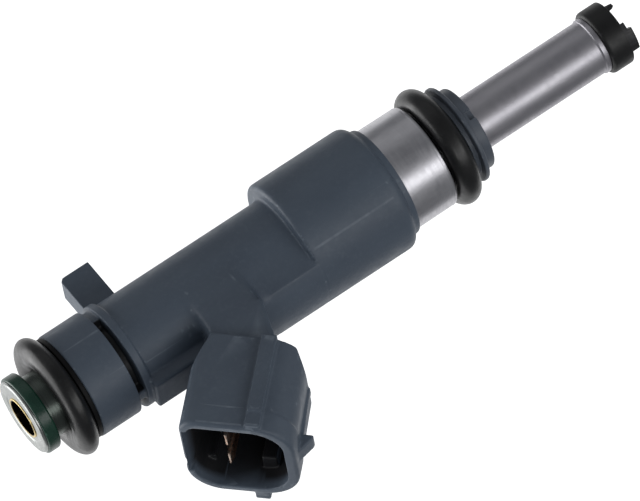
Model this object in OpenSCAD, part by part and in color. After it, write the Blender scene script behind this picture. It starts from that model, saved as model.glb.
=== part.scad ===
// Top-feed port fuel injector, standing on its own axis with the fuel inlet up.
// The origin is on the axis at the centre of the lower O-ring.
// The two-pin connector leans out towards +X and up; the indexing lug is on -X.

/* [Overmoulded housing] */
// Radius of the long barrel
barrel_r = 5.96; // [5.90:0.01:6.10]
// Radius of the collar and the flange on each side of the clip groove
collar_r = 6.4; // [6.3:0.05:6.6]
// Height of the collar's inlet end above the lower O-ring
collar_top_z = 49.35; // [49.1:0.05:49.4]
// Radius of the wide body round the coil
coil_body_r = 7.7; // [7.5:0.05:8.0]
// Height of the shoulder between the wide body and the barrel
shoulder_z = 20.5; // [20.4:0.05:21.5]
// Width of the groove for the retaining clip
clip_groove_w = 0.85; // [0.5:0.05:1.2]
// Radius of the floors of the two deep clip slots
clip_groove_r = 4.6; // [4.2:0.1:5.2]
// Distance of the indexing lug's top from the axis
lug_reach = 11.2; // [9:0.1:12]
// Thickness of the indexing lug
lug_t = 3.3; // [2:0.1:4]
// Half width of the rib between the flange and the connector
spine_half_w = 2.2; // [1.5:0.1:2.8]

/* [Connector] */
// Lean of the connector away from the axis, in degrees
connector_tilt = 45; // [40:1:50]
// Distance of the connector's rim from the axis
rim_x = 19.26; // [19:0.02:20]
// Height of the middle of the connector's rim
rim_z = 40.16; // [39.5:0.02:41]
// Length of the connector's shroud
shroud_len = 11.7; // [11:0.1:12]
// Half width of the shroud
shroud_half_w = 6.8; // [6.4:0.1:7.2]
// Depth of the connector's socket
socket_depth = 9.2; // [8:0.1:9.8]
// Distance between the middles of the two blades
blade_pitch = 3.8; // [3.2:0.1:4.2]
// Width of each blade
blade_w = 2.0; // [1.5:0.1:2.2]
// Thickness of each blade
blade_t = 0.64; // [0.5:0.02:0.8]

/* [Seals] */
// Outer radius of the upper O-ring
upper_outer_r = 7.35; // [7.2:0.05:7.45]
// Half height of the upper O-ring, which is squeezed a little flat
upper_half_h = 1.3; // [1.2:0.05:1.4]
// Outer radius of the lower O-ring
lower_outer_r = 7.25; // [7.1:0.05:7.4]
// Cord radius of the lower O-ring
lower_cord_r = 1.45; // [1.35:0.05:1.5]

/* [Metal parts] */
// Radius of the inlet tube at its mouth
inlet_r = 3.8; // [3.7:0.05:3.9]
// Radius of the inlet tube's bore at its mouth
inlet_bore_r = 2.5; // [2.4:0.05:2.6]
// Height of the inlet tube's end
inlet_top_z = 55.7; // [55.5:0.1:56]
// Radius of the fixed core, which is the inlet tube's lower end
core_r = 3.1; // [3.0:0.05:3.2]
// Radius of the steel coil housing
steel_r = 6.3; // [6.2:0.05:6.35]
// Height of the steel coil housing's lower end
steel_lo_z = 1.7; // [1.6:0.05:1.9]
// Radius of the nozzle tube
nozzle_r = 3.26; // [3.1:0.02:3.4]

/* [Valve] */
// Height of the valve ball's centre when the valve is shut
ball_z = -20.0; // [-20.2:0.05:-19.9]
// Radius of the valve ball
ball_r = 1.6; // [1.5:0.05:1.7]
// Gap left between the ball and its seat, so that the solids stay apart
seat_gap = 0.02; // [0.01:0.01:0.04]
// Gap between the armature and the core when the valve is shut
air_gap = 0.13; // [0.12:0.01:0.2]
// Sliding clearance of the armature in its bore
guide_gap = 0.04; // [0.02:0.01:0.06]
// Radius of the needle tube
needle_r = 1.25; // [1.1:0.05:1.3]

/* [Hidden] */
$fn = 96;
// Overrun of every cutter past the face it opens
cut = 1;

// Heights along the axis, from the nozzle end up
tooth_lo_z = -24.9;
cap_lo_z = -24.0;
cap_top_z = -21.3;
nozzle_lo_z = -22.9;
plate_lo_z = -22.6;
seat_lo_z = -22.3;
seat_top_z = -19.2;
bead_top_z = -20.6;
hub_lo_z = -4.2;
disc_lo_z = -2.85;
disc_top_z = -2.3;
retainer_top_z = -1.75;
nozzle_top_z = -0.5;
cup_floor_z = steel_lo_z + 0.8;
carrier_flange_z = 5.0;
guide_top_z = 8.5;
core_face_z = 12.1;
bobbin_lo_z = 5.2;
bobbin_top_z = 18.3;
washer_lo_z = 18.5;
steel_top_z = 20.0;
overmould_lo_z = 7.1;
neck_lo_z = 28.0;
lug_lo_z = 39.1;
lug_top_z = 42.95;
flange_lo_z = 42.3;
clip_groove_z = 43.35;
inlet_step_z = 47.5;
spacer_top_z = collar_top_z + 0.55;
backup_lo_z = 53.8;
rolled_lip_z = 55.35;

// Radii inside the coil housing
steel_inner_r = steel_r - 0.6;
sleeve_r = core_r + 0.5;
armature_r = core_r - 0.02 - guide_gap;
carrier_bore_r = core_r - 0.02;
groove_floor_r = 4.4;
spigot_r = 3.9;
nozzle_bore_r = 2.6;
core_bore_r = 1.75;
big_bore_lo_z = 42;
fuel_passage_r = 2.0;

// Valve travel parts
armature_lo_z = 5.2;
armature_top_z = core_face_z - air_gap;
pocket_floor_z = 9.0;
pocket_r = 1.6;
needle_top_z = 8.0;
needle_bore_r = 0.9;
sleeve_lo_z = 17.0;
sleeve_hi_z = 25.0;
spring_wire_r = 0.25;
spring_mean_r = 1.2;
spring_turns = 7;

// Connector values, in the connector's own frame: x is across, z points out of the socket
flat_side_h = -6.26;
nose_side_h = 6.35;
nose_corner_r = 4.5;
tight_corner_r = 2.0;
wide_corner_r = 3.9;
band_len = 2.6;
band_proud = 0.12;
flat_wall = 0.86;
side_wall = 1.05;
nose_wall = 1.25;
neck_half_w = 5.9;
blade_h = -1.5;
blade_recess = 1.2;
terminal_x = 4.2;
terminal_foot_z = 17.9;
rib_h = 1.9;
rib_reach = 7.4;
key_h = 2.3;
groove_shallow_r = barrel_r - 0.06;

// Colours
slate = [0.26, 0.29, 0.33];
rubber_black = [0.10, 0.10, 0.11];
steel_grey = [0.62, 0.62, 0.64];
brass_tone = [0.72, 0.55, 0.34];
copper_tone = [0.70, 0.42, 0.28];
seal_green = [0.12, 0.25, 0.19];
retainer_grey = [0.32, 0.33, 0.35];
bobbin_tone = [0.18, 0.17, 0.16];

// A ring between two radii and two heights
module ring(r_in, r_out, z_lo, z_hi) {
    rotate_extrude()
    translate([r_in, z_lo])
    square([r_out - r_in, z_hi - z_lo]);
}

// A pie slice, seen from above, between two angles
module wedge(from_a, to_a, reach, z_lo, z_hi) {
    mid_a = (from_a + to_a) / 2;
    translate([0, 0, z_lo])
    linear_extrude(z_hi - z_lo)
    polygon([
        [0, 0],
        [reach * cos(from_a), reach * sin(from_a)],
        [reach * cos(mid_a), reach * sin(mid_a)] / cos((to_a - from_a) / 2),
        [reach * cos(to_a), reach * sin(to_a)]
    ]);
}

// Places its children in the connector's frame, with the origin in the middle of the rim
module at_connector() {
    translate([rim_x, 0, rim_z])
    rotate([0, connector_tilt, 0])
    children();
}

// The connector's outline: a tight and a wide corner on the flat side, two even ones on the nose side
module d_outline(flat_h, tight_r, wide_r, nose_h, nose_r, half_w) {
    translate([flat_h + tight_r, half_w - tight_r])
    circle(r = tight_r);
    translate([flat_h + wide_r, wide_r - half_w])
    circle(r = wide_r);
    for (side = [-1, 1])
        translate([nose_h - nose_r, side * (half_w - nose_r)])
        circle(r = nose_r);
    translate([flat_h + wide_r, -half_w])
    square([nose_h - nose_r - flat_h - wide_r, 2 * half_w]);
    translate([flat_h + tight_r, 0])
    square([wide_r, half_w]);
    translate([flat_h, wide_r - half_w])
    square([wide_r + 1, 2 * half_w - wide_r - tight_r]);
    translate([nose_h - nose_r - 1, nose_r - half_w])
    square([nose_r + 1, 2 * (half_w - nose_r)]);
}

module shroud_outline(inset) {
    d_outline(flat_side_h, tight_corner_r, wide_corner_r,
              nose_side_h - 1.6 * inset, nose_corner_r - inset, shroud_half_w - inset);
}

module socket_outline() {
    d_outline(flat_side_h + flat_wall, tight_corner_r - flat_wall, wide_corner_r - flat_wall,
              nose_side_h - nose_wall, nose_corner_r - side_wall, shroud_half_w - side_wall);
}

// Half section of the turned part of the overmoulding
module housing_section() {
    top_round = 0.6;
    foot_round = 1.05;
    foot_face_z = overmould_lo_z + 0.8;
    translate([0, foot_face_z + foot_round])
    square([coil_body_r, shoulder_z - top_round - foot_face_z - foot_round]);
    translate([0, foot_face_z])
    square([coil_body_r - foot_round, shoulder_z - foot_face_z]);
    translate([coil_body_r - foot_round, foot_face_z + foot_round])
    circle(r = foot_round);
    translate([0, foot_face_z + foot_round])
    square([coil_body_r - top_round, shoulder_z - foot_face_z - foot_round]);
    translate([coil_body_r - top_round, shoulder_z - top_round])
    circle(r = top_round);
    polygon([[0, overmould_lo_z], [steel_r + 0.08, overmould_lo_z],
             [coil_body_r - foot_round, foot_face_z], [0, foot_face_z]]);
    translate([0, shoulder_z - cut])
    square([barrel_r, flange_lo_z - shoulder_z + 2 * cut]);
    translate([0, flange_lo_z])
    square([collar_r, collar_top_z - flange_lo_z]);
}

// Lug that indexes the injector in its clip, opposite the connector
module lug() {
    edge = 0.45;
    rotate([90, 0, 0])
    translate([0, 0, -lug_t / 2])
    linear_extrude(lug_t)
    polygon([[-3.5, lug_lo_z], [-lug_reach, lug_lo_z], [-lug_reach, lug_top_z - edge],
             [edge - lug_reach, lug_top_z], [-3.5, lug_top_z]]);
}

// Rib under the connector on its inlet side
module spine() {
    spine_reach = 7.1;
    translate([3.5, -spine_half_w, 33])
    cube([spine_reach - 3.5, 2 * spine_half_w, flange_lo_z - 33 + 0.5]);
}

// Raised back between the wide body and the web, whose flat flanks run off along tangents to the barrel
module raised_back() {
    edge_a = 32;
    tangent_a = edge_a + acos(barrel_r / coil_body_r);
    tangent_point = [barrel_r * cos(tangent_a), barrel_r * sin(tangent_a)];
    edge_point = [coil_body_r * cos(edge_a), coil_body_r * sin(edge_a)];
    far_point = 2 * edge_point - tangent_point;
    intersection() {
        translate([0, 0, shoulder_z - 2])
        cylinder(r = coil_body_r, h = neck_lo_z - shoulder_z + 3);
        translate([0, 0, shoulder_z - 3])
        linear_extrude(neck_lo_z - shoulder_z + 5)
        polygon([[0, 0], tangent_point, far_point, [far_point[0], -far_point[1]],
                 [tangent_point[0], -tangent_point[1]]]);
    }
}

// Web between the barrel and the shroud, with its broad sides nearly flush with the barrel's
module neck() {
    rotate([90, 0, 0])
    translate([0, 0, -neck_half_w])
    linear_extrude(2 * neck_half_w)
    polygon([[0.5, neck_lo_z], [7.2, neck_lo_z], [14.2, neck_lo_z + 2.3], [12, 34], [8.3, 36.3],
             [7.8, 35.07], [0.5, 34.4]]);
}

// Side ribs, lug, locking ramp and ridge outside the shroud
module shroud_trim() {
    rib_root = shroud_half_w - 0.6;
    rib_slope = 2.0;
    // Rib on the +Y side, which slopes down into the rim
    translate([rib_h - 0.9, 0, 0])
    rotate([90, 0, 90])
    linear_extrude(1.8)
    polygon([[rib_root, -shroud_len], [rib_reach, -shroud_len], [rib_reach, -rib_slope],
             [shroud_half_w + 0.05, -0.1], [rib_root, -0.1]]);
    // Rib on the other side, which ends in a lug at the rim
    translate([rib_h - 0.9, -rib_reach, -shroud_len])
    cube([1.8, rib_reach - rib_root, shroud_len - 0.3]);
    translate([rib_h - 1.0, -8.4, -rib_slope])
    cube([1.6, 8.4 - rib_root, rib_slope]);
    rotate([90, 0, 0])
    translate([0, 0, -1])
    linear_extrude(2)
    polygon([[5.6, -0.95], [nose_side_h, -0.95], [7.65, -3.1], [7.65, -3.45], [5.6, -3.45]]);
    rotate([90, 0, 0])
    translate([0, 0, -0.6])
    linear_extrude(1.2)
    polygon([[5, -10.1], [6.3, -10.1], [6.55, -3.4], [5, -3.4]]);
}

// Socket with its two keys left standing on the side walls
module socket() {
    key_w = 1.7;
    key_reach = 2.0;
    key_recess = 2.4;
    difference() {
        translate([0, 0, -socket_depth])
        linear_extrude(socket_depth + cut)
        socket_outline();
        for (side = [-1, 1])
            translate([key_h - key_w / 2, side * (shroud_half_w - side_wall), -socket_depth - cut])
            translate([0, -key_reach, 0])
            cube([key_w, 2 * key_reach, socket_depth - key_recess + cut]);
    }
}

// Shroud: a slightly proud band at the rim, with both back edges cut away
module shroud() {
    flat_cut_h = 1.8;
    flat_cut_len = 4.2;
    nose_cut_h = 1.6;
    nose_cut_len = 2.4;
    lead_in_len = 2.2;
    difference() {
        union() {
            translate([0, 0, -band_len])
            linear_extrude(band_len)
            shroud_outline(0);
            translate([0, 0, -shroud_len])
            linear_extrude(shroud_len - band_len)
            shroud_outline(band_proud);
            shroud_trim();
        }
        socket();
        // Slopes down to the web
        rotate([90, 0, 0])
        translate([0, 0, -10])
        linear_extrude(20) {
            polygon([[flat_side_h - cut, flat_cut_len - shroud_len], [flat_side_h, flat_cut_len - shroud_len],
                     [flat_side_h + flat_cut_h, -shroud_len], [flat_side_h + flat_cut_h, -shroud_len - cut],
                     [flat_side_h - cut, -shroud_len - cut]]);
            polygon([[nose_side_h + cut, nose_cut_len - shroud_len], [nose_side_h, nose_cut_len - shroud_len],
                     [nose_side_h - nose_cut_h, -shroud_len], [nose_side_h - nose_cut_h, -shroud_len - cut],
                     [nose_side_h + cut, -shroud_len - cut]]);
        }
        // Lead-in inside the flat side's rim
        rotate([90, 0, 0])
        translate([0, 0, -4])
        linear_extrude(7.2)
        polygon([[flat_side_h + 0.3, cut], [flat_side_h + 0.3, -0.2], [flat_side_h + flat_wall, -lead_in_len],
                 [flat_side_h + 2, -lead_in_len], [flat_side_h + 2, cut]]);
    }
}

// Groove for the retaining clip, shallow all round, with a deep slot on each side
module clip_slots() {
    ring(groove_shallow_r, 12, clip_groove_z, clip_groove_z + clip_groove_w);
    for (side = [-1, 1])
        mirror([0, side < 0 ? 1 : 0, 0])
        intersection() {
            ring(clip_groove_r, 12, clip_groove_z, clip_groove_z + clip_groove_w);
            wedge(7, 111, 9, clip_groove_z - cut, clip_groove_z + clip_groove_w + cut);
        }
}

// Overmoulding: collar, flange, barrel, wide body, connector and lug are one moulding
module housing() {
    color(slate)
    difference() {
        union() {
            rotate_extrude()
            housing_section();
            lug();
            spine();
            raised_back();
            neck();
            at_connector()
            shroud();
        }
        clip_slots();
        translate([0, 0, overmould_lo_z - cut])
        cylinder(r = steel_r, h = steel_top_z - overmould_lo_z + cut);
        translate([0, 0, steel_top_z - cut])
        cylinder(r = core_r, h = inlet_step_z - steel_top_z + 2 * cut);
        translate([0, 0, inlet_step_z])
        cylinder(r = inlet_r, h = collar_top_z - inlet_step_z + cut);
        terminal_strip(1);
        terminal_strip(-1);
    }
}

// Inlet tube and fixed core in one turned piece, with a rolled lip at the mouth
module inlet_tube() {
    lip_r = inlet_r + 0.7;
    edge = 0.1;
    color(steel_grey)
    rotate_extrude()
    polygon([
        [core_bore_r, core_face_z], [core_r, core_face_z], [core_r, inlet_step_z], [inlet_r, inlet_step_z],
        [inlet_r, rolled_lip_z], [lip_r, rolled_lip_z],
        [lip_r, inlet_top_z - edge], [lip_r - edge, inlet_top_z],
        [inlet_bore_r, inlet_top_z], [inlet_bore_r, big_bore_lo_z], [core_bore_r, big_bore_lo_z]
    ]);
}

// Stiff ring that keeps the upper O-ring from creeping off the tube
module inlet_backup_ring() {
    edge = 0.3;
    ring_r = inlet_r + 0.98;
    color(seal_green)
    rotate_extrude() {
        translate([inlet_r, backup_lo_z])
        square([ring_r - edge - inlet_r, rolled_lip_z - backup_lo_z]);
        translate([inlet_r, backup_lo_z + edge])
        square([ring_r - inlet_r, rolled_lip_z - backup_lo_z - 2 * edge]);
        for (z = [backup_lo_z + edge, rolled_lip_z - edge])
            translate([ring_r - edge, z])
            circle(r = edge);
    }
}

module upper_o_ring() {
    section_len = 3.5 - 2 * upper_half_h;
    color(rubber_black)
    rotate_extrude()
    intersection() {
        translate([0, spacer_top_z + upper_half_h])
        union() {
            translate([upper_outer_r - upper_half_h, 0])
            circle(r = upper_half_h);
            translate([upper_outer_r - upper_half_h - section_len, 0])
            circle(r = upper_half_h);
            translate([upper_outer_r - upper_half_h - section_len, -upper_half_h])
            square([section_len, 2 * upper_half_h]);
        }
        translate([inlet_r, spacer_top_z - 1])
        square([10, 10]);
    }
}

module upper_spacer() {
    color(rubber_black)
    ring(inlet_r, collar_r - 0.1, collar_top_z, spacer_top_z);
}

// Round cord, flattened where it sits on its shaft
module lower_o_ring() {
    color(rubber_black)
    rotate_extrude()
    intersection() {
        translate([lower_outer_r - lower_cord_r, 0])
        circle(r = lower_cord_r);
        translate([groove_floor_r, -lower_cord_r - 1])
        square([10, 10]);
    }
}

// Brass collar that holds the inlet filter in the tube's mouth
module filter_collar() {
    color(brass_tone)
    ring(inlet_bore_r - 0.3, inlet_bore_r, inlet_top_z - 2.1, inlet_top_z);
}

// Plastic frame of the inlet filter
module filter_cage() {
    cage_r = inlet_bore_r - 0.15;
    cage_top_z = inlet_top_z - 2.1;
    cage_lo_z = cage_top_z - 11;
    color(slate) {
        difference() {
            union() {
                ring(cage_r - 0.4, inlet_bore_r, cage_top_z - 1, cage_top_z);
                translate([0, 0, cage_lo_z])
                cylinder(r = cage_r, h = 0.8);
                for (a = [0:90:270])
                    rotate([0, 0, a])
                    translate([cage_r - 0.4, -0.35, cage_lo_z + 0.4])
                    cube([0.35, 0.7, cage_top_z - cage_lo_z - 0.9]);
            }
            translate([0, 0, cage_lo_z + 0.8])
            cylinder(r = cage_r - 0.4, h = 20);
        }
    }
}

// Fine strainer cloth inside the cage
module filter_mesh() {
    cloth_r = inlet_bore_r - 0.55;
    color(brass_tone)
    ring(cloth_r - 0.12, cloth_r, inlet_top_z - 12.3, inlet_top_z - 2.4);
}

// Slit sleeve pressed into the core, which sets the spring's load
module adjusting_sleeve() {
    color(brass_tone)
    difference() {
        ring(core_bore_r - 0.55, core_bore_r, sleeve_lo_z, sleeve_hi_z);
        translate([0, -0.15, sleeve_lo_z - cut])
        cube([3, 0.3, sleeve_hi_z - sleeve_lo_z + 2 * cut]);
    }
}

// Helical return spring between the armature's pocket and the adjusting sleeve
spring_steps = 16;
spring_sides = 8;
spring_rings = spring_turns * spring_steps;
spring_lo_z = pocket_floor_z + spring_wire_r + 0.02;
spring_hi_z = sleeve_lo_z - spring_wire_r - 0.02;

function spring_point(i, j) =
    let (turn_a = 360 * i / spring_steps, wire_a = 360 * j / spring_sides,
         r = spring_mean_r + spring_wire_r * cos(wire_a),
         z = spring_lo_z + (spring_hi_z - spring_lo_z) * i / spring_rings)
    [r * cos(turn_a), r * sin(turn_a), z + spring_wire_r * sin(wire_a)];

module return_spring() {
    points = [for (i = [0:spring_rings]) for (j = [0:spring_sides - 1]) spring_point(i, j)];
    walls = [
        for (i = [0:spring_rings - 1]) for (j = [0:spring_sides - 1])
        let (a = i * spring_sides + j, b = i * spring_sides + (j + 1) % spring_sides)
        [a, b, b + spring_sides, a + spring_sides]
    ];
    start_cap = [[for (j = [0:spring_sides - 1]) spring_sides - 1 - j]];
    end_cap = [[for (j = [0:spring_sides - 1]) spring_rings * spring_sides + j]];
    color(steel_grey)
    polyhedron(points, concat(walls, start_cap, end_cap));
}

// Magnetic armature, pulled up to the core when the coil is fed
module armature() {
    color(steel_grey)
    rotate_extrude()
    polygon([
        [needle_r, armature_lo_z], [armature_r - 0.2, armature_lo_z], [armature_r, armature_lo_z + 0.2],
        [armature_r, armature_top_z - 0.2], [armature_r - 0.2, armature_top_z], [pocket_r, armature_top_z],
        [pocket_r, pocket_floor_z], [needle_bore_r, pocket_floor_z], [needle_bore_r, needle_top_z],
        [needle_r, needle_top_z]
    ]);
}

// Hollow stem from the armature to the ball, with cross holes for the fuel
module needle_tube() {
    color(steel_grey)
    difference() {
        ring(needle_bore_r, needle_r, ball_z + 0.9, needle_top_z);
        translate([0, 0, ball_z])
        sphere(r = ball_r);
        for (z = [-17, -14])
            translate([0, 0, z])
            rotate([90, 0, z * 30])
            cylinder(r = 0.45, h = 6, center = true);
    }
}

module valve_ball() {
    color(steel_grey)
    translate([0, 0, ball_z])
    sphere(r = ball_r);
}

// Seat with a 90 degree cone, a guide bore round the ball and four flow notches
module valve_seat() {
    cone_tip_z = ball_z - (ball_r + seat_gap) * sqrt(2);
    guide_r = ball_r + 0.05;
    outlet_r = 0.6;
    color(steel_grey)
    difference() {
        rotate_extrude()
        polygon([
            [outlet_r, seat_lo_z], [nozzle_bore_r, seat_lo_z], [nozzle_bore_r, seat_top_z],
            [guide_r, seat_top_z], [guide_r, cone_tip_z + guide_r], [outlet_r, cone_tip_z + outlet_r]
        ]);
        for (a = [45:90:315])
            rotate([0, 0, a])
            translate([guide_r, 0, cone_tip_z + guide_r - 0.1])
            cylinder(r = 0.5, h = 4);
    }
}

// Thin plate whose small holes shape the spray
module orifice_plate() {
    color(steel_grey)
    difference() {
        translate([0, 0, plate_lo_z])
        cylinder(r = nozzle_bore_r, h = seat_lo_z - plate_lo_z);
        for (a = [45:90:315])
            rotate([0, 0, a])
            translate([0.38, 0, plate_lo_z - cut])
            cylinder(r = 0.12, h = 2 + cut);
    }
}

// Long nozzle tube with its rolled bead above the cap
module nozzle_tube() {
    bead = 0.16;
    color(steel_grey)
    rotate_extrude()
    polygon([
        [nozzle_bore_r, nozzle_lo_z], [nozzle_r, nozzle_lo_z], [nozzle_r, cap_top_z],
        [nozzle_r + bead, cap_top_z], [nozzle_r + bead, bead_top_z - bead], [nozzle_r, bead_top_z],
        [nozzle_r, nozzle_top_z], [nozzle_bore_r, nozzle_top_z]
    ]);
}

// Stepped carrier: armature guide, flange in the steel cup, O-ring groove and spigot
module valve_body() {
    color(steel_grey)
    rotate_extrude()
    polygon([
        [nozzle_r, hub_lo_z], [spigot_r, hub_lo_z],
        [spigot_r, retainer_top_z], [groove_floor_r, retainer_top_z],
        [groove_floor_r, cup_floor_z], [steel_inner_r, cup_floor_z], [steel_inner_r, carrier_flange_z],
        [sleeve_r, carrier_flange_z], [sleeve_r, guide_top_z], [carrier_bore_r, guide_top_z],
        [carrier_bore_r, carrier_flange_z], [fuel_passage_r, carrier_flange_z],
        [fuel_passage_r, nozzle_top_z], [nozzle_r, nozzle_top_z]
    ]);
}

// Steel cup round the coil, which closes the magnetic circuit
module magnet_housing() {
    edge = 0.25;
    color(steel_grey)
    rotate_extrude()
    polygon([
        [groove_floor_r, steel_lo_z], [steel_r - edge, steel_lo_z], [steel_r, steel_lo_z + edge],
        [steel_r, steel_top_z], [steel_inner_r, steel_top_z], [steel_inner_r, cup_floor_z],
        [groove_floor_r, cup_floor_z]
    ]);
}

// Washer that carries the flux from the cup to the core, with windows for the terminals
module flux_washer() {
    color(steel_grey)
    difference() {
        ring(core_r, steel_inner_r, washer_lo_z, steel_top_z);
        for (side = [-1, 1])
            translate([terminal_x - 0.25, side * blade_pitch / 2 - blade_w / 2 - 0.2, washer_lo_z - cut])
            cube([3, blade_w + 0.4, 4]);
    }
}

// Non-magnetic sleeve that joins the carrier to the core
module isolating_sleeve() {
    color(steel_grey)
    ring(core_r, sleeve_r, guide_top_z, washer_lo_z);
}

module coil_bobbin() {
    drum_r = sleeve_r + 0.4;
    flange_r = steel_inner_r - 0.1;
    color(bobbin_tone)
    difference() {
        union() {
            ring(sleeve_r, drum_r, bobbin_lo_z, bobbin_top_z);
            ring(sleeve_r, flange_r, bobbin_lo_z, bobbin_lo_z + 0.7);
            ring(sleeve_r, flange_r, bobbin_top_z - 0.7, bobbin_top_z);
        }
        terminal_strip(1);
        terminal_strip(-1);
    }
}

// Magnet wire, with the outer layer of turns standing proud
module coil_winding() {
    wire_r = 0.22;
    coil_in_r = sleeve_r + 0.45;
    coil_out_r = steel_inner_r - 0.6;
    coil_lo_z = bobbin_lo_z + 0.75;
    coil_hi_z = bobbin_top_z - 0.75;
    turns = floor((coil_hi_z - coil_lo_z) / (2 * wire_r));
    pitch = (coil_hi_z - coil_lo_z - 2 * wire_r) / (turns - 1);
    color(copper_tone)
    rotate_extrude() {
        translate([coil_in_r, coil_lo_z])
        square([coil_out_r - coil_in_r, coil_hi_z - coil_lo_z]);
        for (i = [0:turns - 1])
            translate([coil_out_r, coil_lo_z + wire_r + i * pitch])
            circle(r = wire_r, $fn = 24);
    }
}

// A point across the connector by h and a depth below its rim, as [x, z] in the injector's frame
function in_connector(h, depth) = [
    rim_x + h * cos(connector_tilt) - depth * sin(connector_tilt),
    rim_z - h * sin(connector_tilt) - depth * cos(connector_tilt)
];

// Height at which a line along the connector, offset across it by h, crosses a given x
function strip_z(x, h) = in_connector(h, 0)[1] + (x - in_connector(h, 0)[0]) / tan(connector_tilt);

// Terminal: a strip that rises beside the core, then turns out along the connector
module terminal_strip(side) {
    near_h = blade_h + blade_t / 2;
    far_h = blade_h - blade_t / 2;
    tip = 0.2;
    tip_len = 0.5;
    rotate([90, 0, 0])
    translate([0, 0, side * blade_pitch / 2 - blade_w / 2])
    linear_extrude(blade_w)
    polygon([
        [terminal_x, terminal_foot_z],
        [terminal_x + blade_t, terminal_foot_z],
        [terminal_x + blade_t, strip_z(terminal_x + blade_t, near_h)],
        in_connector(near_h, blade_recess + tip_len),
        in_connector(near_h - tip, blade_recess),
        in_connector(far_h + tip, blade_recess),
        in_connector(far_h, blade_recess + tip_len),
        [terminal_x, strip_z(terminal_x, far_h)]
    ]);
}

module terminal_a() {
    color(copper_tone)
    terminal_strip(1);
}

module terminal_b() {
    color(copper_tone)
    terminal_strip(-1);
}

// Snap ring below the lower O-ring
module retainer_ring() {
    color(retainer_grey)
    difference() {
        union() {
            ring(spigot_r, 5.98, disc_lo_z, disc_top_z);
            ring(spigot_r, 5.05, hub_lo_z, retainer_top_z);
        }
        rotate([0, 0, 72])
        translate([4.4, -0.6, hub_lo_z - cut])
        cube([3, 1.2, cut + 0.8]);
    }
}

// Plastic cap on the nozzle's end, with two teeth beside the spray opening
module nozzle_cap() {
    cap_r = 3.9;
    edge = 0.5;
    opening_r = 1.5;
    tooth_a = 27;
    color(rubber_black) {
        rotate_extrude() {
            translate([nozzle_r, nozzle_lo_z - 0.1])
            square([cap_r - edge - nozzle_r, cap_top_z - nozzle_lo_z + 0.1]);
            translate([nozzle_r, nozzle_lo_z - 0.1])
            square([cap_r - nozzle_r, cap_top_z - edge - nozzle_lo_z + 0.1]);
            translate([cap_r - edge, cap_top_z - edge])
            intersection() {
                circle(r = edge);
                square([edge, edge]);
            }
            translate([opening_r, cap_lo_z])
            square([cap_r - opening_r, nozzle_lo_z - cap_lo_z]);
        }
        for (a = [tooth_a, tooth_a + 180]) {
            intersection() {
                ring(2.8, cap_r, tooth_lo_z, cap_lo_z + 0.2);
                wedge(a - 17.5, a + 24, 8, tooth_lo_z - cut, cap_lo_z + cut);
            }
            intersection() {
                ring(2.8, cap_r, cap_lo_z - 0.4, cap_lo_z + 0.2);
                wedge(a + 20, a + 38, 8, cap_lo_z - cut, cap_lo_z + cut);
            }
        }
        // Torn moulding gate
        rotate([0, 0, tooth_a + 82])
        translate([3.1, -0.3, tooth_lo_z])
        cube([0.5, 0.6, cap_lo_z - tooth_lo_z + 0.2]);
    }
}

housing();
inlet_tube();
inlet_backup_ring();
upper_o_ring();
upper_spacer();
filter_collar();
filter_cage();
filter_mesh();
adjusting_sleeve();
return_spring();
armature();
needle_tube();
valve_ball();
valve_seat();
orifice_plate();
nozzle_tube();
valve_body();
magnet_housing();
flux_washer();
isolating_sleeve();
coil_bobbin();
coil_winding();
terminal_a();
terminal_b();
lower_o_ring();
retainer_ring();
nozzle_cap();
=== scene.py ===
import math
import bpy
from mathutils import Matrix, Vector


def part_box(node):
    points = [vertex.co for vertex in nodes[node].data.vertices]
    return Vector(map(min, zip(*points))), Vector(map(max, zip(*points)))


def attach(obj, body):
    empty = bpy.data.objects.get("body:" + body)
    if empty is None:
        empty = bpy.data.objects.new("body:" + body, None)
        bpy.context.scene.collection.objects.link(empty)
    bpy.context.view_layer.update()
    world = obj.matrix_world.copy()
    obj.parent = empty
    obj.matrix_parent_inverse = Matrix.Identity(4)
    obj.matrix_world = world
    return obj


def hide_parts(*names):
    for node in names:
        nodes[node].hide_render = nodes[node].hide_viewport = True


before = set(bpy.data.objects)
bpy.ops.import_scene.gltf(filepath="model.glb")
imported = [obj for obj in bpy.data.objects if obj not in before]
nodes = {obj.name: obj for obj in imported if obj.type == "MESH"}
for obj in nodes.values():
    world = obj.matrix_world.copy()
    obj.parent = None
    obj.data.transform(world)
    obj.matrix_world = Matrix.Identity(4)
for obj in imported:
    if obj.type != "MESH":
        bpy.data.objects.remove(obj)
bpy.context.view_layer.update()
mm = 0.001


def boxMm(node):
    low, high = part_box(node)  # corners in millimetres, which is how the sizes below are written
    return low / mm, high / mm


# camera, light and floor
view = {"azimuth": 60.0, "elevation": 13.6, "roll": -123.2, "distance": 1.2, "width": 0.07033,
        "target": Vector((0.12, -4.67, 16.60)) * mm}


def direction(azimuth, elevation):
    a, e = math.radians(azimuth), math.radians(elevation)
    return Vector((math.cos(e) * math.cos(a), math.cos(e) * math.sin(a), math.sin(e)))


def makeCamera():
    camera = bpy.data.objects.new("camera", bpy.data.cameras.new("camera"))
    bpy.context.scene.collection.objects.link(camera)
    camera.data.sensor_width = 36
    camera.data.lens = 36 * view["distance"] / view["width"]
    camera.data.clip_start = 0.05
    camera.data.clip_end = 20
    back = direction(view["azimuth"], view["elevation"])
    level = back.to_track_quat("Z", "Y")
    camera.rotation_mode = "QUATERNION"
    camera.rotation_quaternion = level @ Matrix.Rotation(math.radians(view["roll"]), 3, "Z").to_quaternion()
    camera.location = view["target"] + back * view["distance"]
    bpy.context.scene.camera = camera


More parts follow.
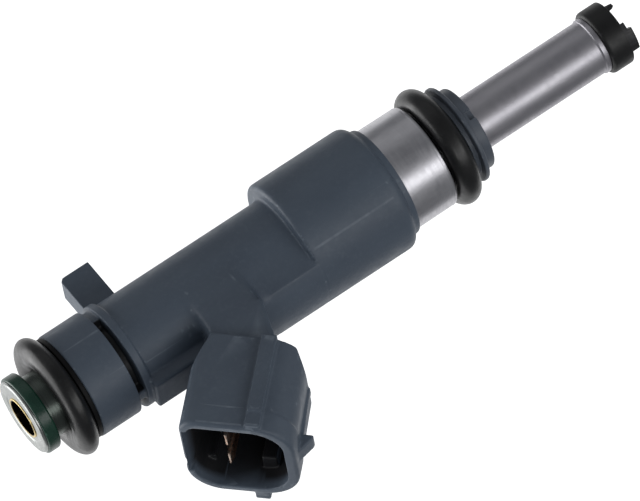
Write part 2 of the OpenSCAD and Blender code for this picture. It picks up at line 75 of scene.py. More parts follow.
def areaLight(name, azimuth, elevation, distance, width, height, power):
    lamp = bpy.data.lights.new(name, "AREA")
    lamp.shape = "RECTANGLE"
    lamp.size = width
    lamp.size_y = height
    lamp.energy = power
    holder = bpy.data.objects.new(name, lamp)
    bpy.context.scene.collection.objects.link(holder)
    away = direction(azimuth, elevation)
    holder.location = view["target"] + away * distance
    holder.rotation_mode = "QUATERNION"
    holder.rotation_quaternion = away.to_track_quat("Z", "Y")
    holder.visible_camera = False


def cameraOnly(thing):
    thing.visible_diffuse = False
    thing.visible_glossy = False
    thing.visible_transmission = False
    thing.visible_shadow = False


def makeStudio():
    world = bpy.data.worlds.new("studio")
    world.use_nodes = True
    sky = world.node_tree.nodes["Background"]
    sky.inputs["Color"].default_value = (0.93, 0.96, 1.0, 1)
    sky.inputs["Strength"].default_value = 0.19
    bpy.context.scene.world = world
    areaLight("stripKey", 28, -14, 0.6, 0.24, 1.2, 2.0)
    areaLight("sideFill", 130, 0, 0.7, 0.5, 1.2, 0.4)
    areaLight("backRim", 240, 0, 0.7, 2.0, 2.0, 10.0)
    areaLight("inletSide", 200, 62, 0.7, 0.8, 0.8, 5.0)

    paper = bpy.data.materials.new("paper")
    paper.use_nodes = True
    shader = paper.node_tree.nodes["Principled BSDF"]
    shader.inputs["Base Color"].default_value = (1, 1, 1, 1)
    shader.inputs["Emission Color"].default_value = (1, 1, 1, 1)
    shader.inputs["Emission Strength"].default_value = 1.0
    bpy.ops.object.select_all(action="DESELECT")
    bpy.ops.mesh.primitive_plane_add(size=4, location=(0, 0, -0.3))
    floor = bpy.context.object
    floor.name = "floor"
    bpy.ops.mesh.primitive_uv_sphere_add(segments=32, ring_count=16, radius=2.2)
    dome = bpy.context.object
    dome.name = "dome"
    for thing in (floor, dome):
        thing.data.materials.append(paper)
        cameraOnly(thing)
    bpy.context.scene.view_settings.view_transform = "Standard"
    bpy.context.scene.view_settings.look = "None"


# overmoulded housing and the tube through it: driving sizes, in millimetres
tubeR = 3.8
barrel = {"r": 5.96, "collarR": 6.4, "flangeLow": 42.3, "wideR": 7.7, "shoulder": 20.5,
          "foot": 7.1, "footRound": 1.05, "spineHalf": 2.2, "spineReach": 7.1, "flankAngle": 32,
          "neckHalf": 5.9, "neckLow": 28.0}
clip = {"low": 43.27, "high": 44.28, "shallowR": 5.9, "floorR": 4.6, "fromAngle": 7, "toAngle": 111}
lugBox = {"reach": 11.2, "low": 39.1, "high": 42.95, "half": 1.65}
shroud = {"rimX": 19.26, "rimZ": 40.16, "tilt": 45, "length": 11.7, "flatH": -6.26, "tightR": 2.0,
          "wideR": 3.9, "noseH": 6.35, "noseR": 4.5, "half": 6.8, "band": 2.6, "bandStep": 0.1,
          "draft": 0.3, "flatWall": 0.86, "sideWall": 1.05, "noseWall": 1.25, "depth": 9.2, "rimRound": 0.4}
sideRibs = {"plusH": 2.05, "minusH": 1.65, "half": 0.86, "reach": 7.5, "endReach": 7.2, "tabReach": 8.5,
            "endLength": 2.1}
ramp = {"foot": 5.6, "front": -0.95, "reach": 7.65, "crest": -3.05, "back": -3.5, "half": 1.0}
ridge = {"foot": 5, "back": -10.1, "backReach": 6.15, "front": -3.4, "reach": 6.5, "half": 0.6}
backSlopes = {"flatFrom": -7.5, "flatTo": -4.46, "noseOutside": -9.3, "noseFrom": -9.6, "noseTo": 4.8,
              "beyond": 8, "half": 10}
keys = {"h": 2.35, "half": 0.85, "reach": 2.0, "recess": 2.8}
# where the painted shade inside the socket falls, in the connector's own millimetres
socketShadeZone = {"depth": 10.5, "halfH": 6, "half": 6.5, "floorBelow": 2.5, "fullAt": 0.4,
              "fadeFrom": 0.7, "fadeOver": 0.9}
fineness = {"voxel": 0.11, "smoothing": 5, "most": 190000}


# finishes
def rgb(r, g, b):
    def linear(value):
        value = value / 255
        return value / 12.92 if value < 0.04045 else ((value + 0.055) / 1.055) ** 2.4
    return (linear(r), linear(g), linear(b), 1)


class Finish:
    # one node material: colour, roughness and bump all vary over the piece's own coordinates
    def __init__(self, name, metallic=0.0, specular=0.5, coat=0.0, coatRoughness=0.2):
        self.material = bpy.data.materials.new(name)
        self.material.use_nodes = True
        self.tree = self.material.node_tree
        self.shader = self.tree.nodes["Principled BSDF"]
        self.shader.inputs["Metallic"].default_value = metallic
        self.shader.inputs["Specular IOR Level"].default_value = specular
        self.shader.inputs["Coat Weight"].default_value = coat
        self.shader.inputs["Coat Roughness"].default_value = coatRoughness
        self.coords = self.add("ShaderNodeTexCoord").outputs["Object"]
        self.relief = None

    def add(self, kind, **settings):
        node = self.tree.nodes.new(kind)
        for key, value in settings.items():
            setattr(node, key, value)
        return node

    def link(self, output, target):
        self.tree.links.new(output, target)

    def noise(self, size, detail=4, stretch=(1, 1, 1)):
        # size is the grain's width in mm; stretch above 1 draws the grain out along that axis
        place = self.add("ShaderNodeMapping")
        place.inputs["Scale"].default_value = [1 / s for s in stretch]
        self.link(self.coords, place.inputs["Vector"])
        grain = self.add("ShaderNodeTexNoise")
        grain.inputs["Scale"].default_value = 1 / (size * mm)
        grain.inputs["Detail"].default_value = detail
        self.link(place.outputs["Vector"], grain.inputs["Vector"])
        return grain.outputs["Fac"]

    def turned(self, pitch, wobble=3.0):
        # fine rings round the axis, for what was turned or drawn along Z
        wave = self.add("ShaderNodeTexWave", wave_type="BANDS", bands_direction="Z")
        wave.inputs["Scale"].default_value = 0.314 / (pitch * mm)
        wave.inputs["Distortion"].default_value = wobble
        wave.inputs["Detail"].default_value = 3
        wave.inputs["Detail Scale"].default_value = 2
        self.link(self.coords, wave.inputs["Vector"])
        return wave.outputs["Fac"]

    def distanceFromAxis(self):
        # distance from the axis, in millimetres
        flat = self.add("ShaderNodeMapping")
        flat.inputs["Scale"].default_value = (1 / mm, 1 / mm, 0)
        self.link(self.coords, flat.inputs["Vector"])
        length = self.add("ShaderNodeVectorMath", operation="LENGTH")
        self.link(flat.outputs["Vector"], length.inputs[0])
        return length.outputs["Value"]

    def height(self):
        # along the axis, in millimetres
        reach = self.add("ShaderNodeVectorMath", operation="DOT_PRODUCT")
        self.link(self.coords, reach.inputs[0])
        reach.inputs[1].default_value = (0, 0, 1 / mm)
        return reach.outputs["Value"]

    def attribute(self, name):
        return self.add("ShaderNodeAttribute", attribute_name=name).outputs["Fac"]

    def within(self, value, low, high, blur):
        above = self.spread(value, 0, 1, low - blur, low + blur)
        return self.both(above, self.spread(value, 1, 0, high - blur, high + blur))

    def spread(self, value, low, high, fromLow=0.3, fromHigh=0.7):
        span = self.add("ShaderNodeMapRange")
        span.inputs["From Min"].default_value = fromLow
        span.inputs["From Max"].default_value = fromHigh
        span.inputs["To Min"].default_value = low
        span.inputs["To Max"].default_value = high
        self.link(value, span.inputs["Value"])
        return span.outputs["Result"]

    def mix(self, factor, first, second):
        blend = self.add("ShaderNodeMix", data_type="RGBA")
        self.link(factor, blend.inputs[0])
        for socket, value in ((blend.inputs[6], first), (blend.inputs[7], second)):
            if isinstance(value, tuple):
                socket.default_value = value
            else:
                self.link(value, socket)
        return blend.outputs[2]

    def color(self, value):
        self.link(value, self.shader.inputs["Base Color"])
        return self

    def roughness(self, value):
        self.link(value, self.shader.inputs["Roughness"])
        return self

    def bump(self, value, height, strength=1.0):
        relief = self.add("ShaderNodeBump")
        relief.inputs["Distance"].default_value = height * mm
        relief.inputs["Strength"].default_value = strength
        self.link(value, relief.inputs["Height"])
        if self.relief:
            self.link(self.relief, relief.inputs["Normal"])
        self.relief = relief.outputs["Normal"]
        self.link(self.relief, self.shader.inputs["Normal"])
        return self

    def edges(self, low=0.52, high=0.62):
        shape = self.add("ShaderNodeNewGeometry")
        return self.spread(shape.outputs["Pointiness"], 0, 1, low, high)

    def both(self, first, second):
        product = self.add("ShaderNodeMath", operation="MULTIPLY")
        self.link(first, product.inputs[0])
        self.link(second, product.inputs[1])
        return product.outputs[0]


def slatePlastic():
    # glass filled nylon: cloudy, a little swirled, with a fine spark-eroded grain, and edges lightened partly
    # by rubbing and partly as a painted highlight
    f = Finish("slatePlastic", specular=0.40)
    cloud = f.spread(f.noise(4.5, 5, (1, 1, 2.5)), 0, 1)
    body = f.mix(cloud, rgb(77, 87, 100), rgb(85, 96, 109))
    bloom = f.both(f.spread(f.noise(0.5, 4), 0, 1, 0.50, 0.80), f.spread(f.noise(6.0, 3), 0, 0.5))
    body = f.mix(bloom, body, rgb(98, 108, 120))
    # painted highlight: convex edges are lightened, partly for rubbed wear and partly for the highlights that
    # edges catch
    rubbedAndHighlit = f.both(f.edges(0.53, 0.66), f.spread(f.noise(0.8, 3), 0.25, 0.75))
    body = f.mix(rubbedAndHighlit, body, rgb(120, 130, 141))
    body = f.mix(f.attribute("paintedSocketShade"), body, rgb(33, 34, 37))  # painted shade: the socket's walls are darkened where they face its axis
    # painted shade: the clip slot's walls and floor are darkened, for the shade inside the slot
    inSlot = f.spread(f.distanceFromAxis(), 1, 0, clip["shallowR"] - 0.25, clip["shallowR"] - 0.05)
    slotShade = f.both(f.within(f.height(), clip["low"], clip["high"], 0.05), inSlot)
    f.color(f.mix(slotShade, body, rgb(20, 22, 25)))
    f.roughness(f.spread(f.noise(1.2, 4), 0.42, 0.56))
    f.bump(f.noise(0.16, 3), 0.010)
    f.bump(f.noise(1.6, 2), 0.025, 0.6)
    return f.material


def steel(name, tone, dark, low, high, pitch, ringHeight, boreShadeR=None, neckShadeBelow=None):
    # turned and polished: rings round the axis, faint smears along it
    # painted shade: what lies within the given radius of the axis and below the given height is darkened, for
    # the shade in the bore and in the neck
    f = Finish(name, metallic=1.0, specular=0.5)
    smear = f.spread(f.noise(1.4, 4, (1, 1, 3)), 0, 1)
    tone = f.mix(smear, tone, dark)
    # painted shade on the neck below the given height
    if neckShadeBelow:
        neckShade = f.spread(f.height(), 1, 0, neckShadeBelow - 0.6, neckShadeBelow)
        tone = f.mix(neckShade, tone, rgb(84, 90, 86))
    # painted shade inside the bore, within the given radius
    if boreShadeR:
        boreShade = f.spread(f.distanceFromAxis(), 1, 0, boreShadeR - 0.08, boreShadeR)
        tone = f.mix(boreShade, tone, rgb(34, 30, 24))
    f.color(tone)
    streak = f.noise(0.12, 3, (14, 14, 1))
    f.roughness(f.spread(streak, low, high))
    f.bump(f.turned(pitch), ringHeight)
    f.bump(streak, ringHeight * 0.5)
    return f.material


def moulded(name, first, second, low, high, specular=0.5, grain=0.2, edgeWearAndHighlight=None):
    f = Finish(name, specular=specular)
    body = f.mix(f.spread(f.noise(1.8, 4), 0, 1), first, second)
    if edgeWearAndHighlight:
        # painted highlight: convex edges are lightened, partly for rubbed wear and partly for the highlights
        # that edges catch
        rubbedAndHighlit = f.both(f.edges(0.53, 0.66), f.spread(f.noise(0.5, 3), 0.2, 1.0))
        body = f.mix(rubbedAndHighlit, body, edgeWearAndHighlight)
    f.color(body)
    f.roughness(f.spread(f.noise(0.9, 4), low, high))
    f.bump(f.noise(grain, 3), 0.008)
    return f.material


def oRingRubber():
    # oiled rubber with a bloom of dust
    f = Finish("oRingRubber", specular=0.42, coat=0.18, coatRoughness=0.22)
    dust = f.both(f.spread(f.noise(0.30, 4), 0, 1, 0.55, 0.72), f.spread(f.noise(3.0, 2), 0.1, 0.8))
    body = f.mix(f.spread(f.noise(2.2, 4), 0, 1), rgb(11, 11, 12), rgb(17, 17, 18))
    f.color(f.mix(dust, body, rgb(36, 36, 39)))
    f.roughness(f.spread(f.noise(1.0, 4), 0.30, 0.46))
    f.bump(f.noise(0.22, 4), 0.010)
    return f.material


def magnetWire():
    f = Finish("magnetWire", metallic=1.0, coat=0.4, coatRoughness=0.15)
    f.color(f.mix(f.spread(f.noise(0.6, 3), 0, 1), rgb(168, 92, 52), rgb(140, 70, 38)))
    f.roughness(f.spread(f.noise(0.3, 3), 0.22, 0.36))
    f.bump(f.turned(0.44, 0.6), 0.03)
    return f.material


def strainerCloth():
    # plain weave: two sets of fine threads
    f = Finish("strainerCloth", specular=0.4)
    rings = f.turned(0.10, 0.2)
    wave = f.add("ShaderNodeTexWave", wave_type="BANDS", bands_direction="DIAGONAL")
    wave.inputs["Scale"].default_value = 0.314 / (0.10 * mm)
    f.link(f.coords, wave.inputs["Vector"])
    weave = f.both(rings, wave.outputs["Fac"])
    f.color(f.mix(f.spread(weave, 0, 1, 0, 1), rgb(70, 66, 52), rgb(176, 168, 140)))
    f.roughness(f.spread(weave, 0.7, 0.5, 0, 1))
    f.bump(weave, 0.03)
    return f.material


def tinnedBronze():
    # bare bronze with a thin bright tin wash near the tips
    f = Finish("tinnedBronze", metallic=1.0)
    body = f.mix(f.spread(f.noise(0.8, 4), 0, 1), rgb(196, 142, 108), rgb(170, 116, 84))
    wash = f.both(f.edges(0.51, 0.58), f.spread(f.noise(0.4, 3), 0.3, 1.0))
    f.color(f.mix(wash, body, rgb(226, 210, 196)))
    f.roughness(f.spread(f.noise(0.25, 3, (1, 1, 6)), 0.24, 0.40))
    f.bump(f.noise(0.10, 3, (6, 6, 1)), 0.006)
    return f.material


def makeFinishes():
    return {
        "slate": slatePlastic(),
        "turnedSteel": steel("turnedSteel", rgb(186, 184, 189), rgb(172, 170, 176), 0.36, 0.48, 0.14, 0.0018),
        "cupSteel": steel("cupSteel", rgb(204, 203, 207), rgb(184, 183, 188), 0.28, 0.42, 0.20, 0.0020),
        # painted shade on the inlet tube's neck below 54.2 mm
        "inletSteel": steel("inletSteel", rgb(176, 178, 176), rgb(150, 154, 151), 0.24, 0.38, 0.12, 0.0018,
                            neckShadeBelow=54.2),
        "groundSteel": steel("groundSteel", rgb(165, 165, 168), rgb(140, 140, 144), 0.22, 0.34, 0.10, 0.002),
        "springWire": steel("springWire", rgb(120, 120, 124), rgb(90, 90, 94), 0.28, 0.45, 0.08, 0.002),
        "greenNylon": moulded("greenNylon", rgb(16, 52, 40), rgb(24, 64, 50), 0.22, 0.36, 0.5, 0.25,
                              rgb(60, 100, 84)),
        "rubber": oRingRubber(),
        "spacerNylon": moulded("spacerNylon", rgb(5, 5, 6), rgb(9, 9, 10), 0.50, 0.65, 0.2),
        "capNylon": moulded("capNylon", rgb(12, 12, 13), rgb(18, 18, 19), 0.38, 0.54, 0.45, 0.18,
                            rgb(46, 46, 50)),
        "retainerNylon": moulded("retainerNylon", rgb(80, 87, 97), rgb(90, 97, 107), 0.36, 0.50, 0.45, 0.2,
                                 rgb(124, 130, 139)),
        # painted shade inside the brass collar's bore
        "brass": steel("satinBrass", rgb(226, 204, 140), rgb(196, 170, 110), 0.22, 0.34, 0.12, 0.002,
                       boreShadeR=2.32),
        "cloth": strainerCloth(),
        "cageNylon": moulded("cageNylon", rgb(150, 146, 128), rgb(168, 164, 148), 0.38, 0.52),
        "bobbinNylon": moulded("bobbinNylon", rgb(44, 42, 40), rgb(56, 54, 52), 0.40, 0.55),
        "magnetWire": magnetWire(),
        "bronze": tinnedBronze(),
    }


# modelling helpers, in millimetres
mergeWithin = 0.002


def clearSelection():
    if bpy.context.mode != "OBJECT":
        bpy.ops.object.mode_set(mode="OBJECT")
    bpy.ops.object.select_all(action="DESELECT")


def only(piece):
    clearSelection()
    piece.select_set(True)
    bpy.context.view_layer.objects.active = piece


def applyPlace(piece):
    only(piece)
    bpy.ops.object.transform_apply(location=True, rotation=True, scale=True)


def applyModifier(piece, kind, **settings):
    only(piece)
    modifier = piece.modifiers.new(kind.lower(), kind)
    for key, value in settings.items():
        setattr(modifier, key, value)
    bpy.ops.object.modifier_apply(modifier=modifier.name)


def smooth(piece, angle=35):
    only(piece)
    bpy.ops.object.shade_smooth_by_angle(angle=math.radians(angle))


def outward(piece):
    only(piece)
    bpy.ops.object.mode_set(mode="EDIT")
    bpy.ops.mesh.select_all(action="SELECT")
    bpy.ops.mesh.remove_doubles(threshold=mergeWithin * mm)
    bpy.ops.mesh.normals_make_consistent(inside=False)
    bpy.ops.object.mode_set(mode="OBJECT")


def roundedOutline(corners):
    # corners are (radius, height, rounding); a rounding above zero turns that corner into an arc
    points = []
    for i, (r, z, rounding) in enumerate(corners):
        here = Vector((r, z))
        if rounding <= 0:
            points.append(here)
            continue
        before = (Vector(corners[i - 1][:2]) - here).normalized()
        after = (Vector(corners[(i + 1) % len(corners)][:2]) - here).normalized()
        half = before.angle(after) / 2
        centre = here + (before + after).normalized() * rounding / math.sin(half)
        start = here + before * rounding / math.tan(half) - centre
        end = here + after * rounding / math.tan(half) - centre
        startAngle = math.atan2(start.y, start.x)
        sweep = (math.atan2(end.y, end.x) - startAngle + math.pi) % (2 * math.pi) - math.pi
        steps = max(2, math.ceil(abs(sweep) / math.radians(15)))
        for k in range(steps + 1):
            a = startAngle + sweep * k / steps
            points.append(centre + Vector((math.cos(a), math.sin(a))) * rounding)
    return points


def turnPiece(name, corners, steps=160):
    # a ring of edges is drawn out along the outline, one loop at a time, until it meets itself
    points = roundedOutline(corners)
    clearSelection()
    r, z = points[0]
    bpy.ops.mesh.primitive_circle_add(vertices=steps, radius=r * mm)
    piece = bpy.context.object
    piece.name = name
    bpy.ops.object.mode_set(mode="EDIT")
    bpy.ops.mesh.select_all(action="SELECT")
    bpy.ops.transform.translate(value=(0, 0, z * mm))
    for nextR, nextZ in points[1:] + points[:1]:
        bpy.ops.mesh.extrude_edges_move(TRANSFORM_OT_translate={"value": (0, 0, (nextZ - z) * mm)})
        grow = nextR / r
        bpy.ops.transform.resize(value=(grow, grow, 1), center_override=(0, 0, nextZ * mm))
        r, z = nextR, nextZ
    bpy.ops.object.mode_set(mode="OBJECT")
    outward(piece)
    return piece


def addBox(name, low, high, edge=0.0):
    clearSelection()
    low, high = Vector(low), Vector(high)
    bpy.ops.mesh.primitive_cube_add(size=1, location=(low + high) / 2 * mm, scale=(high - low) * mm)
    piece = bpy.context.object
    piece.name = name
    applyPlace(piece)
    if edge:
        bpy.ops.object.mode_set(mode="EDIT")
        bpy.ops.mesh.select_all(action="SELECT")
        bpy.ops.mesh.bevel(offset=edge * mm, segments=2)
        bpy.ops.object.mode_set(mode="OBJECT")
    return piece


def addPrism(name, outline, half, edge=0.0):
    # an outline in the XZ plane, drawn out evenly to both sides
    clearSelection()
    bpy.ops.mesh.primitive_circle_add(vertices=len(outline), radius=mm, fill_type="NGON")
    piece = bpy.context.object
    piece.name = name
    for vertex, (x, z) in zip(piece.data.vertices, outline):
        vertex.co = Vector((x, -half, z)) * mm
    bpy.ops.object.mode_set(mode="EDIT")
    bpy.ops.mesh.select_all(action="SELECT")
    bpy.ops.mesh.extrude_region_move(TRANSFORM_OT_translate={"value": (0, 2 * half * mm, 0)})
    if edge:
        bpy.ops.mesh.select_all(action="SELECT")
        bpy.ops.mesh.bevel(offset=edge * mm, segments=2)
    bpy.ops.object.mode_set(mode="OBJECT")
    outward(piece)
    return piece


def selectEdges(piece, wanted):
    # selects the edges whose two ends both pass the test, given in millimetres
    for vertex in piece.data.vertices:
        vertex.select = False
    for face in piece.data.polygons:
        face.select = False
    for edge in piece.data.edges:
        ends = [piece.data.vertices[i].co / mm for i in edge.vertices]
        edge.select = all(wanted(end) for end in ends)


def selectVertices(piece, wanted):
    for face in piece.data.polygons:
        face.select = False
    chosen = [wanted(vertex.co / mm) for vertex in piece.data.vertices]
    piece.data.vertices.foreach_set("select", chosen)
    whole = [all(chosen[i] for i in edge.vertices) for edge in piece.data.edges]
    piece.data.edges.foreach_set("select", whole)


def bevelSelected(piece, width, segments):
    only(piece)
    bpy.ops.object.mode_set(mode="EDIT")
    bpy.ops.mesh.select_mode(type="EDGE")
    bpy.ops.mesh.bevel(offset=width * mm, segments=segments)
    bpy.ops.object.mode_set(mode="OBJECT")


def combine(base, other, operation):
    applyModifier(base, "BOOLEAN", object=other, operation=operation, solver="EXACT")
    bpy.data.objects.remove(other)
    return base


def wear(piece, slot, finish, *replaced, body="root"):
    piece.data.materials.clear()
    piece.data.materials.append(finish)
    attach(piece, body)
    if replaced:
        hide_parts(*replaced)
    print("made", piece.name, len(piece.data.polygons), "faces")
    return piece


# overmoulded housing
toConnector = (Matrix.Translation(Vector((shroud["rimX"], 0, shroud["rimZ"])) * mm)
               @ Matrix.Rotation(math.radians(shroud["tilt"]), 4, "Y"))


def atConnector(piece):
    piece.matrix_world = toConnector @ piece.matrix_world
    applyPlace(piece)
    return piece


def addDSolid(name, flatH, tightR, wideR, noseH, noseR, half, low, high):
    # a block with its four long edges rounded, the two on the flat side each to its own radius
    piece = addBox(name, (flatH, -half, low), (noseH, half, high))
    corners = ((flatH, half, tightR), (flatH, -half, wideR), (noseH, half, noseR), (noseH, -half, noseR))
    for h, y, rounding in corners:
        selectEdges(piece, lambda end: abs(end.x - h) < 0.01 and abs(end.y - y) < 0.01)
        bevelSelected(piece, rounding, 20)
    return piece


def addConnectorSolid(name, inset, low, high):
    s = shroud
    return addDSolid(name, s["flatH"], s["tightR"], s["wideR"], s["noseH"] - 1.6 * inset, s["noseR"] - inset,
                     s["half"] - 0.2 * inset, low, high)


def wedgeCutter(fromAngle, toAngle, reach, low, high):
    outline = [(0, 0)]
    steps = 8
    for k in range(steps + 1):
        a = math.radians(fromAngle + (toAngle - fromAngle) * k / steps)
        outline.append((reach * math.cos(a), reach * math.sin(a)))
    clearSelection()
    bpy.ops.mesh.primitive_circle_add(vertices=len(outline), radius=mm, fill_type="NGON")
    piece = bpy.context.object
    for vertex, (x, y) in zip(piece.data.vertices, outline):
        vertex.co = Vector((x, y, low)) * mm
    bpy.ops.object.mode_set(mode="EDIT")
    bpy.ops.mesh.select_all(action="SELECT")
    bpy.ops.mesh.extrude_region_move(TRANSFORM_OT_translate={"value": (0, 0, (high - low) * mm)})
    bpy.ops.object.mode_set(mode="OBJECT")
    outward(piece)
    return piece


def makeBand():
    # the slightly proud band at the rim, with its outer edge rounded
    band = addConnectorSolid("band", 0, -shroud["band"], 0)
    selectEdges(band, lambda end: end.z > -0.01)
    bevelSelected(band, shroud["rimRound"], 4)
    return band


def makeShroud():
    s, r = shroud, sideRibs
    half, back = s["half"], -s["length"]
    body = addConnectorSolid("shroud", s["bandStep"], back, 0.2 - s["band"])
    selectVertices(body, lambda place: place.z < back + 0.01)
    only(body)
    bpy.ops.object.mode_set(mode="EDIT")
    bpy.ops.mesh.select_mode(type="VERT")
    taper = 1 - s["draft"] / (s["noseH"] - s["flatH"])
    bpy.ops.transform.resize(value=(taper, 1, 1), center_override=(s["flatH"] * mm, 0, 0))
    bpy.ops.object.mode_set(mode="OBJECT")
    combine(body, makeBand(), "UNION")
    root = half - 0.6
    rib = addPrism("rib", [(root, back), (r["reach"], back), (r["reach"], -r["endLength"]),
                           (r["endReach"], -r["endLength"]), (r["endReach"], -0.25), (root, -0.25)],
                   r["half"])
    rib.matrix_world = (Matrix.Translation((r["plusH"] * mm, 0, 0))
                        @ Matrix.Rotation(math.radians(90), 4, "Z"))
    applyPlace(rib)
    trims = [rib,
             addBox("lowRib", (r["minusH"] - r["half"], -r["reach"], back),
                    (r["minusH"] + r["half"], -root, -0.3), 0.1),
             addBox("tab", (r["minusH"] - 0.85, -r["tabReach"], -r["endLength"]),
                    (r["minusH"] + 0.85, -root, -0.36), 0.15),
             addPrism("ramp", [(ramp["foot"], ramp["front"]), (s["noseH"] - 0.1, ramp["front"]),
                               (ramp["reach"], ramp["crest"]), (ramp["reach"], ramp["back"]),
                               (ramp["foot"], ramp["back"])], ramp["half"], 0.12),
             addPrism("ridge", [(ridge["foot"], ridge["back"]), (ridge["backReach"], ridge["back"]),
                                (ridge["reach"], ridge["front"]), (ridge["foot"], ridge["front"])],
                      ridge["half"], 0.08)]
    for trim in trims:
        combine(body, trim, "UNION")
    b = backSlopes
    slopes = [addPrism("flatSlope", [(-b["beyond"], b["flatFrom"]), (s["flatH"] + 0.02, b["flatFrom"]),
                                     (b["flatTo"], back), (b["flatTo"], back - 1),
                                     (-b["beyond"], back - 1)], b["half"]),
              addPrism("noseSlope", [(b["beyond"], b["noseOutside"]), (s["noseH"] - 0.3, b["noseFrom"]),
                                     (b["noseTo"], back), (b["noseTo"], back - 1),
                                     (b["beyond"], back - 1)], b["half"])]
    for slope in slopes:
        combine(body, slope, "DIFFERENCE")
    return atConnector(body)


def makeSocketCutter():
    s, k = shroud, keys
    half, wall = s["half"] - s["sideWall"], s["flatWall"]
    cutter = addDSolid("socket", s["flatH"] + wall, s["tightR"] - wall, s["wideR"] - wall,
                       s["noseH"] - s["noseWall"], s["noseR"] - s["sideWall"], half, -s["depth"], 1)
    for side in (-1, 1):
        low, high = sorted((side * (half - k["reach"]), side * (half + k["reach"])))
        key = addBox("key", (k["h"] - k["half"], low, -s["depth"] - 1),
                     (k["h"] + k["half"], high, -k["recess"]), 0.12)
        combine(cutter, key, "DIFFERENCE")
    gusset = addBox("gusset", (-5.6, -6.2, -s["depth"] - 1), (-3.7, -4.7, -3.0), 0.1)
    combine(cutter, gusset, "DIFFERENCE")
    leadIn = addPrism("leadIn", [(s["flatH"] + 0.3, 1), (s["flatH"] + 0.3, -0.25), (s["flatH"] + wall, -2.2),
                                 (s["flatH"] + 2, -2.2), (s["flatH"] + 2, 1)], 4)
    leadIn.location = (0, 0.8 * mm, 0)
    applyPlace(leadIn)
    combine(cutter, leadIn, "UNION")
    nick = addBox("nick", (s["flatH"] - 1, -2.6, -3.0), (s["flatH"] + 0.22, -0.9, 1))
    combine(cutter, nick, "UNION")
    return atConnector(cutter)


def makeRaisedBack():
    # its flanks are flat and run off along tangents to the barrel
    b = barrel
    edge = math.radians(b["flankAngle"])
    tangent = edge + math.acos(b["r"] / b["wideR"])
    start = Vector((math.cos(tangent), math.sin(tangent))) * b["r"]
    end = Vector((math.cos(edge), math.sin(edge))) * b["wideR"]
    far = end * 2 - start
    low, high = b["shoulder"] - 0.3, b["neckLow"] + 1
    innerR = 4.7
    back = turnPiece("raisedBack", [(innerR, low, 0), (b["wideR"], low, 0), (b["wideR"], high, 0),
                                    (innerR, high, 0)], 192)
    flanks = addPrism("flanks", [(0, 0), (start.x, start.y), (far.x, far.y), (far.x, -far.y),
                                 (start.x, -start.y)], (high - low) / 2 + 1)
    flanks.matrix_world = (Matrix.Translation((0, 0, (low + high) / 2 * mm))
                           @ Matrix.Rotation(math.radians(90), 4, "X"))
    applyPlace(flanks)
    return combine(back, flanks, "INTERSECT")


def makeWeb():
    # its broad sides are flush with the barrel on top
    b = barrel
    web = addPrism("web", [(0.5, b["neckLow"]), (7.2, b["neckLow"]), (14.2, b["neckLow"] + 2.3), (12, 34),
                           (8.3, 36.3), (7.8, 35.07), (0.5, 34.4)], b["neckHalf"])
    selectEdges(web, lambda end: abs(end.y) > b["neckHalf"] - 0.01 and end.z < b["neckLow"] + 2.5)
    bevelSelected(web, 0.45, 3)
    coreR, low, high = 3.6, 19.95, 46
    core = turnPiece("core", [(0.5, low, 0), (coreR, low, 0), (coreR, high, 0), (0.5, high, 0)], 96)
    return combine(web, core, "DIFFERENCE")


def ringCutter(floorR, low, high):
    return turnPiece("groove", [(floorR, low, 0), (9, low, 0), (9, high, 0), (floorR, high, 0)], 160)


def cutClipGroove(housing):
    for side in (1, -1):
        span = sorted((side * clip["fromAngle"], side * clip["toAngle"]))
        slot = combine(ringCutter(clip["floorR"], clip["low"], clip["high"]),
                       wedgeCutter(span[0], span[1], 14, clip["low"] - 1, clip["high"] + 1), "INTERSECT")
        combine(housing, slot, "DIFFERENCE")
    combine(housing, ringCutter(clip["shallowR"], clip["low"] + 0.01, clip["high"] - 0.01), "DIFFERENCE")


def soften(piece, wanted, repeat):
    # relaxes the surface where the moulding flows from one form into the next
    selectVertices(piece, wanted)
    only(piece)
    bpy.ops.object.mode_set(mode="EDIT")
    bpy.ops.mesh.select_mode(type="VERT")
    bpy.ops.mesh.vertices_smooth(factor=0.5, repeat=repeat)
    bpy.ops.object.mode_set(mode="OBJECT")


def markSocketShade(housing):
    # marks what faces the socket's axis, so that the finish can paint shade on it: the painted shade of the
    # socket's dim interior
    m = socketShadeZone
    place = toConnector.inverted()
    turn = place.to_3x3()
    mark = housing.data.attributes.new("paintedSocketShade", "FLOAT", "POINT")
    for vertex in housing.data.vertices:
        spot = place @ vertex.co / mm
        if not (-m["depth"] < spot.z < 0 and abs(spot.x) < m["halfH"] and abs(spot.y) < m["half"]):
            continue
        normal = turn @ vertex.normal
        outwards = max(math.hypot(spot.x, spot.y), 0.1)
        facing = -(normal.x * spot.x + normal.y * spot.y) / outwards
        if spot.z < -m["floorBelow"]:
            facing = max(facing, normal.z)
        fromRim = (-spot.z - m["fadeFrom"]) / m["fadeOver"]
        mark.data[vertex.index].value = min(max(facing / m["fullAt"], 0), 1) * min(max(fromRim, 0), 1)


